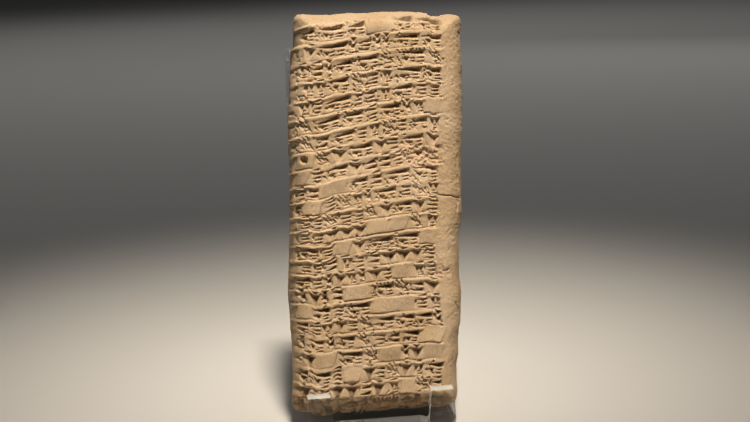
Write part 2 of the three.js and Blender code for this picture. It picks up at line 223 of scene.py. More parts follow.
def numbers_from(seed):
    """Park-Miller numbers from 0 to 1, the same as the solid's."""
    state = seed
    while True:
        state = (state * 16807) % 2147483647
        yield state / 2147483647


def ruling_height(row, x):
    """How high the ruling above a row is, which falls to the left and most on the upper rows."""
    down = row / ROWS
    reach = (WIDTH / 2 - RIGHT_MARGIN - x) / (WIDTH - RIGHT_MARGIN - LEFT_MARGIN)
    fall = LEAST_FALL + EXTRA_FALL * math.exp(-(((down - 0.33) / 0.35) ** 2))
    right = HEIGHT - TOP_MARGIN - down * (HEIGHT - TOP_MARGIN - FOOT_MARGIN)
    return right - fall * reach * (0.75 + 0.25 * reach)


def stacked(aside, below, count, length, space, deep, fill):
    """Level strokes, one under the other, each filling a share of its space."""
    return [
        [aside, below + space * (j + 0.5) / count, length, space / count * fill, 180, deep]
        for j in range(count)
    ]


def invent(random, height):
    """One invented sign: its kind, its width, and strokes as [left, below, length, width, angle, depth]."""
    pick = next(random)
    size = next(random)
    kind = next(name for name, share in KINDS if pick < share)
    strokes = []

    def stack(aside, below, count, length, space, deep):
        strokes.extend(stacked(aside, below, count, length, space, deep, STACK_FILL))

    width = 2.8 + 1.2 * size
    if kind == "stack":
        stack(0, height * 0.24, 3 if size < 0.7 else 2, width, height * 0.72, 0.85)
    elif kind == "long":
        width = 5 + 4 * size
        strokes.append([0, height * 0.38, width, height * 0.36, 180, 1.3])
        stack(0.3, height * 0.56, 2, 2.4 + size, height * 0.4, 0.8)
        strokes.append([width * 0.66, height * 0.55, height * 0.4, 1.8, 270, 0.8])
    elif kind == "flute":
        width = 2.8 + 1.6 * size
        strokes.append([width * 0.5, height * 0.24, height * 0.95, width, 268, 1])
    elif kind == "upright":
        strokes.append([0.8, height * 0.22, height * 0.8, 1.3, 270, 1])
        strokes.append([2.2, height * 0.22, height * 0.8, 1.3, 270, 1])
    elif kind == "slant":
        width = 3.4 + size
        for j in range(3):
            strokes.append([
                width * (0.92 - 0.26 * j), height * (0.32 + 0.08 * j), height * 0.62, 0.95, 314, 0.9,
            ])
    elif kind == "hook":
        width = 2 + size
        strokes.append([width * 0.15, height * 0.56, 1.9, 2.3, 180, 1.1])
    else:
        width = 4 + 4 * size
    return kind, width, strokes


def signs():
    """All signs, row by row from the right, with their strokes placed as the solid places them."""
    random = numbers_from(WRITING_SEED)
    left = LEFT_MARGIN - WIDTH / 2
    for row in range(ROWS + 1):
        inset = float(dent_at(RIGHT_INSETS, row / ROWS))
        right = WIDTH / 2 - RIGHT_MARGIN - inset - 0.5 * next(random)
        while right - left > 1.5:
            top = ruling_height(row, right)
            height = top - ruling_height(row + 1, right)
            kind, width, strokes = invent(random, height)
            slope = (top - ruling_height(row, right - width)) / width
            fits = min(1, (right - left) / width)
            yield {
                "kind": kind, "right": right, "top": top, "height": height, "width": width * fits,
                "slope": slope, "strokes": [placed(stroke, right, top, slope, fits) for stroke in strokes],
            }
            right -= width * fits + 0.2 + 0.4 * next(random)


def placed(stroke, right, top, slope, fits=1.0):
    """A sign's stroke across and up the face: [x, z, length, width, angle, depth]."""
    aside, below, length, width, angle, depth = stroke
    flat = angle == 180
    return [
        right - aside * fits, top - below - aside * fits * slope, length * fits if flat else length, width,
        angle + (math.degrees(math.atan(slope)) if flat else 0), STROKE_DEPTH * depth,
    ]


def lesser_strokes(sign, random):
    """Further strokes that the finish adds to a sign."""
    height, width, kind = sign["height"], sign["width"], sign["kind"]
    strokes = []

    def stack(aside, below, count, length, space, deep):
        strokes.extend(stacked(aside, below, count, length, space, deep, LESSER_FILL))

    if kind == "long":
        if width > 5.6:
            stack(3.2, height * 0.58, 2, 2.0, height * 0.36, 0.6)
        for j in range(2):
            strokes.append([width * 0.95 - 1.1 * j, height * 0.6, height * 0.4, 0.8, 314, 0.6])
        if random.random() < 0.12:  # a notched ridge
            for j in range(int(width / 1.1)):
                strokes.append([
                    0.6 + 1.1 * j, height * 0.07, height * 0.3, 0.8 + 0.2 * random.random(), 290, 0.4,
                ])
    elif kind == "stack":
        if random.random() < 0.65:
            strokes.append([0.2 * random.random(), height * 0.13, width * 0.95, height * 0.24, 180, 0.6])
        if random.random() < 0.4:
            strokes.append([width + 0.1, height * 0.3, height * 0.6, 0.8, 270, 0.6])
    elif kind == "flute":
        strokes.append([width * 0.5, height * 0.02, height * 0.3, width * 0.8, 268, 0.5])
    elif kind == "upright":
        stack(0.2, height * 0.6, 2, width * 0.7, height * 0.34, 0.5)
        strokes.append([0.3, height * 0.1, 3.4, height * 0.2, 180, 0.5])
    elif kind == "hook":
        stack(0, height * 0.66, 2, 1.6, height * 0.3, 0.6)
        strokes.append([width * 0.55, height * 0.02, height * 0.36, 2.0, 268, 0.9])
        strokes.append([width * 0.95, height * 0.28, height * 0.5, 1.1, 300, 0.7])
    elif kind == "slant":
        strokes.append([width * 0.1, height * 0.78, 2.2, 0.8, 180, 0.6])
        for j in range(2):
            strokes.append([width * (0.98 - 0.36 * j), height * 0.03, height * 0.42, 0.9, 314, 0.7])
    return [placed(stroke, sign["right"], sign["top"], sign["slope"]) for stroke in strokes]


# ---- The relief: a map of depths across and up the face, in millimetres ----

def map_axes():
    across = np.arange(0, WIDTH + GRAIN / 2, GRAIN) - WIDTH / 2
    up = np.arange(0, HEIGHT + GRAIN / 2, GRAIN)
    return across, up


def blur(field, reach):
    """Softens a map over some millimetres."""
    rows, columns = field.shape
    fy = np.fft.fftfreq(rows, GRAIN)[:, None]
    fx = np.fft.rfftfreq(columns, GRAIN)[None, :]
    soft = np.exp(-2 * (math.pi * reach) ** 2 * (fx ** 2 + fy ** 2))
    return np.fft.irfft2(np.fft.rfft2(field) * soft, s=field.shape)


def mottle(random, shape, reach):
    """Smooth random hills about as wide as reach, with a spread of one."""
    hills = blur(random.standard_normal(shape), reach)
    return hills / hills.std()


def press(depths, across, up, stroke, lean):
    """Presses a pit with three walls into a map of depths; lean moves its deepest line to one side."""
    x, z, length, width, angle, depth = stroke
    reach = length + width
    columns = slice(*np.searchsorted(across, (x - reach, x + reach)))
    rows = slice(*np.searchsorted(up, (z - reach, z + reach)))
    px = across[columns][None, :] - x
    pz = up[rows][:, None] - z
    turn = math.radians(angle)
    along = px * math.cos(turn) + pz * math.sin(turn)
    aside = (-px * math.sin(turn) + pz * math.cos(turn)) / (width / 2)
    left = np.clip(1 - along / length, 0, 1)
    aside = aside - lean * left
    side = np.where(aside > 0, 1 - aside / np.maximum(left * (1 - lean), 1e-3),
                    1 + aside / np.maximum(left * (1 + lean), 1e-3)) * np.minimum(left / 0.7, 1)
    head = along / (0.16 * length + 0.12)
    pit = depth * np.clip(np.minimum(head, side), 0, 1)
    depths[rows, columns] = np.maximum(depths[rows, columns], pit)


def groove(depths, across, up, points, width, depth):
    """Cuts a line that runs through points, tapering at its ends."""
    points = np.array(points, float)
    total = len(points) - 1
    for i, (start, end) in enumerate(zip(points[:-1], points[1:])):
        reach = width * 2
        low, high = np.minimum(start, end) - reach, np.maximum(start, end) + reach
        columns = slice(*np.searchsorted(across, (low[0], high[0])))
        rows = slice(*np.searchsorted(up, (low[1], high[1])))
        px, pz = across[columns][None, :] - start[0], up[rows][:, None] - start[1]
        way = end - start
        span = max(np.hypot(*way), 1e-6)
        t = np.clip((px * way[0] + pz * way[1]) / span ** 2, 0, 1)
        far = np.hypot(px - t * way[0], pz - t * way[1])
        place = (i + t) / total
        taper = np.clip(np.minimum(place, 1 - place) * 6, 0.15, 1)
        cut = depth * taper * np.clip(1 - far / (width * taper), 0, 1)
        depths[rows, columns] = np.maximum(depths[rows, columns], cut)


def rows_below(across, up):
    """How far down its row each place lies, below zero beyond the rows, and how far it is from a ruling."""
    rules = []
    for row in range(ROWS + 2):
        rule = np.array([ruling_height(row, x) for x in across])
        rules.append(rule + 0.13 * np.sin(across * 0.55 + row * 2.1) * np.sin(across * 0.23 + row))
    share = np.full((len(up), len(across)), -1.0)
    nearest = np.full(share.shape, 9.0)
    for rule, lower in zip(rules[:-1], rules[1:]):
        here = rule[None, :] - up[:, None]
        inside = (here >= 0) & (up[:, None] > lower[None, :])
        share[inside] = (here / (rule - lower)[None, :])[inside]
        close = np.abs(here + 0.1) < np.abs(nearest + 0.1)
        nearest[close] = here[close]
    return share, nearest


def inside_of(sign, across, up):
    """How far into a sign's own field each place lies, from its right and down, in a window of the map."""
    columns = slice(*np.searchsorted(across, (sign["right"] - sign["width"] - 0.2, sign["right"] + 0.2)))
    rows = slice(*np.searchsorted(up, (
        sign["top"] - sign["height"] * 1.35 - sign["width"] * sign["slope"], sign["top"] + 0.4)))
    x, z = np.meshgrid(across[columns], up[rows])
    aside = sign["right"] - x
    down = (sign["top"] - aside * sign["slope"] - z) / sign["height"]
    return rows, columns, aside, down


class WrittenFace:
    """The map of the written face while it is worked: its rows, strokes and smooth planes."""

    def __init__(self, random):
        self.random = random
        self.across, self.up = map_axes()
        self.x, self.z = np.meshgrid(self.across, self.up)
        self.shape = self.x.shape
        self.share, self.nearest = rows_below(self.across, self.up)
        passed = (HEIGHT - TOP_MARGIN - self.z) / (HEIGHT - TOP_MARGIN - FOOT_MARGIN)
        limit = WIDTH / 2 - RIGHT_MARGIN - dent_at(RIGHT_INSETS, passed) + 0.4 * self.hills(1.8)
        self.written = 1 / (1 + np.exp((self.x - limit) * 3.5)) * (self.share >= 0)
        self.pits = np.zeros(self.shape)
        self.planes = np.zeros(self.shape)
        self.tilts = np.zeros(self.shape)

    def hills(self, reach):
        """Smooth random hills over the whole map."""
        return mottle(self.random, self.shape, reach)

    def press_signs(self):
        """Presses each sign's strokes, the solid's own first, and leaves some fields smooth."""
        for sign in signs():
            for stroke in sign["strokes"] + lesser_strokes(sign, self.random):
                self.press_by_hand(*stroke)
            if sign["kind"] in ("smooth", "flute"):
                self.leave_smooth(sign)

    def press_by_hand(self, x, z, length, width, angle, depth):
        """Presses one stroke, a little out of line, and no deeper than its width allows."""
        jog = self.random.normal(0, 1, 3)
        level = abs(angle - 180) < 25
        deepest = (0.6 if level else 0.45) * width + 0.06
        moved = [
            x + 0.12 * jog[0], z + 0.06 * jog[1], length * 1.05, width * 1.25, angle + 3 * jog[2],
            min(depth * 1.1, deepest),
        ]
        press(self.pits, self.across, self.up, moved, -0.55 if level else 0.45)

    def leave_smooth(self, sign):
        """Leaves a sign's field as a plane that is never quite level, or as a fainter one under a flute."""
        is_plane = sign["kind"] == "smooth"
        rows, columns, aside, down = inside_of(sign, self.across, self.up)
        skew = (down - 0.5) * (self.random.uniform(0.2, 2.2) if is_plane else 0)
        plane = np.clip(np.minimum(aside - skew, sign["width"] - aside + skew) / 0.15, 0, 1)
        plane *= np.clip(np.minimum(down - 0.02, 0.97 - down) * sign["height"] / 0.12, 0, 1)
        if is_plane:
            aslant = 0.3 * self.random.normal() * (aside / sign["width"] - 0.5)
            self.tilts[rows, columns] += plane * (aslant + self.random.normal(0.15, 0.4) * (down - 0.5))
        else:  # a flute cuts into a plane that it overlaps
            middle = aside / sign["width"] * 2 - 1
            plane *= 0.4
            self.planes[rows, columns] -= plane * np.clip(1 - middle ** 2, 0, 1)
        self.planes[rows, columns] = np.maximum(self.planes[rows, columns], plane)

    def fill_bare_places(self):
        """Presses small marks wherever the rows are still bare."""
        random = self.random
        for _ in range(SMALL_MARKS):
            x = random.uniform(-WIDTH / 2 + LEFT_MARGIN, WIDTH / 2 - RIGHT_MARGIN)
            z = random.uniform(3, HEIGHT - 3)
            i, j = int(z / GRAIN), int((x + WIDTH / 2) / GRAIN)
            length = random.uniform(1.1, 2.4)
            angle = random.choice([180, 180, 176, 270, 315, 300, 225])
            depth = random.uniform(0.35, 0.75)
            width = random.uniform(0.6, 1.1)
            if not 0.06 < self.share[i, j] < 0.94 or self.written[i, j] < 0.6:
                continue
            if self.share[i, j] < 0.22 and random.random() < 0.6:
                continue
            near = (slice(max(i - 6, 0), i + 7), slice(max(j - 12, 0), j + 7))
            if self.pits[near].mean() < 0.07 and self.planes[near].max() < 0.3:
                mark = [x, z, length, width, angle, depth]
                press(self.pits, self.across, self.up, mark, -0.5 if angle < 200 else 0.35)

    def vary_depths(self):
        """Presses some places harder, and more so down the face."""
        self.pits *= (1 + 0.12 * self.hills(2.5)) * (1.05 + 0.3 * np.clip((75 - self.z) / 60, 0, 1))

    def rows_and_strokes(self):
        """Depths of the rows with their strokes, and how much painted shade darkens their rulings."""
        pits, written, share, nearest = self.pits, self.written, self.share, self.nearest
        # A rounded ridge at the top of each row, and a score whose upper wall is steep along its ruling
        whole = np.clip(0.72 + 0.45 * self.hills(3.5), 0.15, 1.1)
        ridge = np.exp(-((share - 0.12) / 0.1) ** 2)
        score = np.minimum(
            np.clip((nearest + 0.32) / 0.14, 0, 1), np.clip(1 - (nearest + 0.18) / 0.5, 0, 1))
        free = 1 - np.clip(pits * 2.5, 0, 1)
        # The clay between close strokes sinks with them
        sunk = np.clip(blur(((pits > 0.05) & (share > 0.2)).astype(float), 0.5) * 1.7, 0, 1)
        sunk *= np.clip((share - 0.2) / 0.05, 0, 1)
        flat = np.clip(self.planes, 0, 1)
        relief = pits + written * (
            0.26 * sunk * (1 - flat) - 0.3 * ridge * free * (1 - flat) * whole - 0.2 * flat
            + 0.4 * score * whole * (0.7 + 0.5 * flat))
        relief += written * np.clip(self.tilts, -0.5, 0.5)
        # Clay pushed up beside the strokes
        pushed = blur((pits > 0.1).astype(float), 0.22)
        relief -= 0.36 * pushed * (pits <= 0.1)
        # The second value is painted shade along the ruling grooves
        return relief, 0.5 * score * written * whole

    def add_grain(self, relief):
        """Adds fine scratches of the tool on the planes, wear, dents of the hand, grain and pocks."""
        scratch = blur(self.random.standard_normal((1, self.shape[1])), 0.12)[0]
        scratch = scratch / scratch.std() * np.clip(0.5 + self.hills(2.0), 0, 1)
        relief += 0.018 * scratch * self.written
        relief += 0.1 * self.hills(7) + 0.05 * self.hills(1.6)
        bare = 1 - self.written
        relief += (0.018 + 0.02 * bare) * self.hills(0.16) + 0.02 * self.hills(0.5)
        pocks = self.hills(0.22)
        relief += 0.25 * (0.4 + 0.6 * bare) * np.clip(pocks - 2.1, 0, 1)
        relief -= 0.12 * bare * np.clip(-pocks - 1.9, 0, 1)

    def crumbled(self, relief):
        """The relief with its worn patches gone rough, and how worn each place is."""
        worn = np.zeros(self.shape)
        for x, z, reach, rough in CRUMBLED:
            patch = np.exp(-(((self.x - x) / reach) ** 2 + ((self.z - z) / (reach * 0.6)) ** 2))
            patch *= np.clip(1 + 0.25 * self.hills(0.9), 0, 1.2)
            relief = relief * (1 - 0.45 * patch) + patch * (0.1 + rough * (
                0.36 * np.abs(self.hills(0.3)) + 0.2 * self.hills(0.7)))
            worn = np.maximum(worn, patch)
        return relief, worn

    def break_open(self, relief):
        """Opens the pits and cracks that damage left."""
        for x, z, radius, depth in HOLES:
            hole = np.clip(1 - ((self.x - x) ** 2 + (self.z - z) ** 2) / radius ** 2, 0, 1)
            relief += depth * np.sqrt(hole)
        for points, width, depth in CRACKS:
            crack = np.zeros(self.shape)
            groove(crack, self.across, self.up, points, width, depth)
            relief += crack

    def roughen_foot(self, relief, foot):
        """Crumbles the lower edge and deepens its strokes."""
        relief += foot * (0.9 * self.pits + 0.16 * self.hills(0.45) + 0.14 * self.hills(1.1))

    def painted_shade(self, ruled_shade, foot):
        """How much painted shade darkens the strokes and rulings, more so down the face and on the lower
        edge; the top end is darkened too.
        """
        # Painted shade: low darkens the face more towards the bottom, and foot darkens the lower edge
        low = np.clip((70 - self.z) / 60, 0, 1)
        painted_shade = (blur(self.pits, 0.12) + ruled_shade) * (0.72 + 1.25 * low + foot)
        painted_shade += 1.1 * foot + 0.08 * low + 0.7 * np.clip((self.z - HEIGHT + 5) / 2, 0, 1)
        return painted_shade


def written_relief():
    """Depth of the written face below its smooth form, how much painted shade darkens it, and how worn it is.
    """
    face = WrittenFace(np.random.default_rng(DEPTH_SEEDS["written"]))
    face.press_signs()
    face.fill_bare_places()
    face.vary_depths()
    relief, ruled_shade = face.rows_and_strokes()
    face.add_grain(relief)
    relief, worn = face.crumbled(relief)
    face.break_open(relief)
    foot = np.clip((6.5 - face.z) / 3, 0, 1)  # the lower edge is rougher, and painted shade darkens it
    face.roughen_foot(relief, foot)
    return blur(relief, 0.05), np.clip(face.painted_shade(ruled_shade, foot), 0, 1.6), np.clip(worn, 0, 1)


def plain_relief():
    """Depth of the hidden sides below their smooth form: dents of the hand and grain only."""
    across, up = map_axes()
    shape = (len(up), len(across))
    random = np.random.default_rng(DEPTH_SEEDS["plain"])
    relief = 0.1 * mottle(random, shape, 6) + 0.06 * mottle(random, shape, 2)
    relief += 0.03 * mottle(random, shape, 0.5)
    chips = mottle(random, shape, 1.1)
    relief += 0.35 * np.clip(chips - 2.4, 0, 1)
    return relief


def sampled(field, x, z):
    """Values of a map at places across and up."""
    rows, columns = field.shape
    i = np.clip(z / GRAIN, 0, rows - 1.001)
    j = np.clip((x + WIDTH / 2) / GRAIN, 0, columns - 1.001)
    i0, j0 = i.astype(int), j.astype(int)
    fi, fj = i - i0, j - j0
    upper = field[i0 + 1, j0] * (1 - fj) + field[i0 + 1, j0 + 1] * fj
    lower = field[i0, j0] * (1 - fj) + field[i0, j0 + 1] * fj
    return lower * (1 - fi) + upper * fi


# ---- The tablet's mesh ----

def fine_block(settings):
    """A block of quads, finest on its written face."""
    form = bmesh.new()
    bmesh.ops.create_cube(form, size=2)
    for axis, cuts in enumerate((settings.cells_across, settings.cells_deep, settings.cells_up)):
        others = [i for i in range(3) if i != axis]
        edges = [
            e for e in form.edges
            if all(abs(e.verts[0].co[i] - e.verts[1].co[i]) < 1e-6 for i in others)
        ]
        bmesh.ops.subdivide_edges(form, edges=edges, cuts=cuts - 1, use_grid_fill=True)

    def is_written(point):
        return point.y < -0.9999 or (point.z < -0.9999 and point.y < 0.1)

    face = [e for e in form.edges if all(is_written(v.co) for v in e.verts)]
    bmesh.ops.subdivide_edges(form, edges=face, cuts=settings.face_cuts, use_grid_fill=True)
    mesh = bpy.data.meshes.new("clay_tablet")
    form.to_mesh(mesh)
    form.free()
    return mesh


def coordinates(mesh):
    """A mesh's points as an array."""
    flat = np.empty(len(mesh.vertices) * 3, np.float32)
    mesh.vertices.foreach_get("co", flat)
    return flat.reshape(-1, 3).astype(float)


def move_points(mesh, points):
    mesh.vertices.foreach_set("co", points.astype(np.float32).ravel())
    mesh.update()


def point_normals(mesh):
    flat = np.empty(len(mesh.vertices) * 3, np.float32)
    mesh.vertex_normals.foreach_get("vector", flat)
    return flat.reshape(-1, 3).astype(float)


# ---- Settings ----

class TabletSettings(bpy.types.PropertyGroup):
    lit_clay: bpy.props.StringProperty(
        name="Clay", description="Colour of the clay on its raised places", default="#C9B092")
    # Colour of the painted shade that the depth attribute lays into the strokes, rulings and lower edge
    shaded_clay: bpy.props.StringProperty(
        name="Deep clay", description="Colour of the clay down in the strokes", default="#7C664C")
    worn_clay: bpy.props.StringProperty(
        name="Worn clay", description="Colour where the surface has crumbled", default="#CCA98C")
    cloudy_clay: bpy.props.StringProperty(
        name="Cloudy clay", description="Colour of the broad darker clouds in the clay", default="#BCA07C")
    grain_clay: bpy.props.StringProperty(
        name="Grain", description="Colour of the clay's dark grains", default="#987C5C")
    cells_across: bpy.props.IntProperty(
        name="Cells across", description="Cells of the plain sides across", default=112, min=8)
    cells_deep: bpy.props.IntProperty(
        name="Cells deep", description="Cells of the plain sides through", default=30, min=4)
    cells_up: bpy.props.IntProperty(
        name="Cells up", description="Cells of the plain sides up", default=258, min=8)
    face_cuts: bpy.props.IntProperty(
        name="Face cuts", description="Further cuts of each cell of the written face", default=2, min=0)
    most_triangles: bpy.props.IntProperty(
        name="Triangles", description="The most triangles that the tablet keeps", default=194000, min=1000)


class CradleSettings(bpy.types.PropertyGroup):
    tint: bpy.props.StringProperty(
        name="Acrylic", description="Tint of the clear sheet", default="#F4F8F8")
    edge_round: bpy.props.FloatProperty(
        name="Edge", description="Width of the flame-polished edge", default=0.0004, min=0, unit="LENGTH")


class StageSettings(bpy.types.PropertyGroup):
    floor_colour: bpy.props.StringProperty(
        name="Floor", description="Colour of the plain floor", default="#BDBAB5")
    floor_reach: bpy.props.FloatProperty(
        name="Floor size", description="From its middle to each side", default=8, min=1, unit="LENGTH")
    studio_colour: bpy.props.StringProperty(
        name="Studio", description="Colour of the light from all around", default="#E8EAEC")
    studio_light: bpy.props.FloatProperty(
        name="Studio light", description="Strength of the light from all around", default=0.035, min=0)
    camera_far: bpy.props.FloatProperty(
        name="Camera distance", description="From the tablet's middle", default=0.400, min=0.1, unit="LENGTH")
    camera_turn: bpy.props.FloatProperty(
        name="Camera turn", description="To the left of straight on",
        default=math.radians(5.0), subtype="ANGLE", unit="ROTATION")
    camera_rise: bpy.props.FloatProperty(
        name="Camera rise", description="Above the horizon",
        default=math.radians(11.0), subtype="ANGLE", unit="ROTATION")
    camera_roll: bpy.props.FloatProperty(
        name="Camera roll", description="How far the view is tilted",
        default=math.radians(2.5), subtype="ANGLE", unit="ROTATION")
    lens: bpy.props.FloatProperty(
        name="Lens", description="Focal length in millimetres", default=66.1, min=10)


# ---- Materials ----

def baked_clay(settings):
    """Baked river clay, pressed and scraped by hand: matt, mealy, with painted shade darkening the strokes
    and the lower edge.
    """
    material, tree = new_material("baked_clay")
    place = add_node(tree, "ShaderNodeTexCoord").outputs["Object"]
    # The depth attribute carries painted shade for the strokes, rulings and lower edge
    depth = add_node(tree, "ShaderNodeAttribute", attribute_name="depth").outputs["Fac"]
    worn = add_node(tree, "ShaderNodeAttribute", attribute_name="worn").outputs["Fac"]
    # Mottling about 9 mm wide, grain about 0.4 mm and specks about 1 mm apart
    cloud = add_node(tree, "ShaderNodeTexNoise", {
        "Vector": place, "Scale": 110.0, "Detail": 4.0, "Roughness": 0.55}).outputs["Fac"]
    grain = add_node(tree, "ShaderNodeTexNoise", {
        "Vector": place, "Scale": 2400.0, "Detail": 4.0, "Roughness": 0.7}).outputs["Fac"]
    specks = add_node(tree, "ShaderNodeTexVoronoi", {"Vector": place, "Scale": 900.0}).outputs["Distance"]
    tone = add_node(tree, "ShaderNodeMapRange", {
        "Value": cloud, "From Min": 0.35, "From Max": 0.68, "To Min": 0.0, "To Max": 1.0}).outputs["Result"]
    base = add_node(tree, "ShaderNodeMix", {
        "Factor": tone, "A": linear(settings.lit_clay), "B": linear(settings.cloudy_clay)},
        data_type="RGBA").outputs["Result"]
    grained = add_node(tree, "ShaderNodeMix", {
        "Factor": add_node(tree, "ShaderNodeMapRange", {
            "Value": grain, "From Min": 0.38, "From Max": 0.7, "To Max": 0.5}).outputs["Result"],
        "A": base, "B": linear(settings.grain_clay)}, data_type="RGBA").outputs["Result"]
    crumbled = add_node(tree, "ShaderNodeMix", {
        "Factor": add_node(tree, "ShaderNodeMath", {0: worn, 1: 0.45}, operation="MULTIPLY").outputs["Value"],
        "A": grained, "B": linear(settings.worn_clay)}, data_type="RGBA").outputs["Result"]
    # Painted shade: the darker clay colour is laid on where the depth attribute is high
    shaded = add_node(tree, "ShaderNodeMix", {
        "Factor": add_node(tree, "ShaderNodeMapRange", {
            "Value": depth, "From Min": 0.35, "From Max": 1.5, "To Max": 0.9}).outputs["Result"],
        "A": crumbled, "B": linear(settings.shaded_clay)}, data_type="RGBA").outputs["Result"]
    rough = add_node(tree, "ShaderNodeMapRange", {
        "Value": grain, "From Min": 0.3, "From Max": 0.7, "To Min": 0.82, "To Max": 0.95}).outputs["Result"]
    fine_bump = add_node(tree, "ShaderNodeBump", {
        "Height": grain, "Strength": 0.55, "Distance": 0.00022}).outputs["Normal"]
    bump = add_node(tree, "ShaderNodeBump", {
        "Height": specks, "Normal": fine_bump, "Strength": 0.25, "Distance": 0.0002}).outputs["Normal"]
    shader = add_node(tree, "ShaderNodeBsdfPrincipled", {
        "Base Color": shaded, "Roughness": rough, "Normal": bump, "Specular IOR Level": 0.25})
    add_node(tree, "ShaderNodeOutputMaterial", {"Surface": shader.outputs["BSDF"]})
    return material


def clear_acrylic(settings):
    """Cast acrylic sheet, cut, flame-polished and bent warm: clear, glossy, its edges gathering light."""
    material, tree = new_material("clear_acrylic")
    place = add_node(tree, "ShaderNodeTexCoord").outputs["Object"]
    # Handling haze, about 12 mm wide
    haze = add_node(tree, "ShaderNodeTexNoise", {
        "Vector": place, "Scale": 80.0, "Detail": 3.0}).outputs["Fac"]
    rough = add_node(tree, "ShaderNodeMapRange", {
        "Value": haze, "From Min": 0.4, "From Max": 0.75, "To Min": 0.0, "To Max": 0.03}).outputs["Result"]
    shader = add_node(tree, "ShaderNodeBsdfPrincipled", {
        "Base Color": linear(settings.tint), "Roughness": rough, "IOR": 1.49, "Transmission Weight": 1.0,
        "Alpha": 0.16, "Coat Weight": 0.15, "Coat Roughness": 0.02})
    add_node(tree, "ShaderNodeOutputMaterial", {"Surface": shader.outputs["BSDF"]})
    return material


def cut_edge(settings):
    """The sawn and flamed edge of the acrylic sheet: its whitish, half-clear finish is partly the frost of
    the saw marks and partly painted highlight for the light that the sheet gathers at its edges.
    """
    material, tree = new_material("acrylic_cut_edge")
    place = add_node(tree, "ShaderNodeTexCoord").outputs["Object"]
    # Saw marks about 0.5 mm apart, half melted away
    marks = add_node(tree, "ShaderNodeTexNoise", {
        "Vector": place, "Scale": 1800.0, "Detail": 2.0}).outputs["Fac"]
    rough = add_node(tree, "ShaderNodeMapRange", {
        "Value": marks, "From Min": 0.35, "From Max": 0.7, "To Min": 0.1, "To Max": 0.18}).outputs["Result"]
    # Whitish base with little transmission: painted highlight for light piped to the edge, as well as frosted
    # saw marks
    shader = add_node(tree, "ShaderNodeBsdfPrincipled", {
        "Base Color": linear(settings.tint), "Roughness": rough, "IOR": 1.49, "Transmission Weight": 0.4,
        "Alpha": 0.72})
    add_node(tree, "ShaderNodeOutputMaterial", {"Surface": shader.outputs["BSDF"]})
    return material


def plain_floor(settings):
    material, tree = new_material("plain_floor")
    shader = add_node(tree, "ShaderNodeBsdfPrincipled", {
        "Base Color": linear(settings.floor_colour), "Roughness": 0.8})
    add_node(tree, "ShaderNodeOutputMaterial", {"Surface": shader.outputs["BSDF"]})
    return material


# ---- Operators ----

class TABLET_OT_clay(bpy.types.Operator):
    """Make the clay tablet with its rows of strokes"""
    bl_idname = "tablet.clay"
    bl_label = "Clay Tablet"

    def execute(self, context):
        settings = context.scene.clay_tablet
        mesh = fine_block(settings)
        form = rounded(coordinates(mesh))
        move_points(mesh, to_outline(form))
        normals = point_normals(mesh)
        relief, painted_shade, worn = written_relief()
        x, y, z = form.T
        front = np.clip(-y / FACE_SWELL * 3.2, 0, 1)
        # The bottom face takes marks from further up the map, and the hidden sides are mapped aslant
        under = np.clip((2.8 - z) / 1.2, 0, 1) * np.clip(-y / 2, 0, 1)
        plain = sampled(plain_relief(), 0.7 * x + 0.6 * y, z + 0.3 * y)

        def on_face(field):
            return (1 - under) * sampled(field, x, z) + under * sampled(field, x, UNDER_TAKES_FROM + y)

        front = np.maximum(front, under)
        depth = front * (1 + 0.6 * under) * on_face(relief) + (1 - front) * plain
        points = to_outline(form) - normals * depth[:, None]
        move_points(mesh, points * MM)
        mesh.transform(STANDING)
        # The depth attribute carries painted shade: strokes, rulings, lower edge and bottom face darker, more
        # so down the face
        for name, amount in (("depth", on_face(painted_shade) + UNDER_SHADE * under), ("worn", on_face(worn))):
            mark = mesh.attributes.new(name, "FLOAT", "POINT")
            mark.data.foreach_set("value", (front * amount).astype(np.float32))
        mesh.materials.append(baked_clay(settings))
        mesh.polygons.foreach_set("use_smooth", [True] * len(mesh.polygons))
        piece = place_piece("clay_tablet", mesh, "tablet")
        self.thin(context, piece, settings.most_triangles)
        return {"FINISHED"}

    def thin(self, context, piece, most):
        """Keeps the fine cells where the relief needs them."""
        mesh = piece.data
        triangles = sum(len(p.vertices) - 2 for p in mesh.polygons)
        modifier = piece.modifiers.new("thin", "DECIMATE")
        modifier.ratio = min(1, most / triangles)
        shaped = piece.evaluated_get(context.evaluated_depsgraph_get())
        thinned = bpy.data.meshes.new_from_object(shaped)
        piece.modifiers.clear()
        piece.data = thinned
        bpy.data.meshes.remove(mesh)
        thinned.name = "clay_tablet"


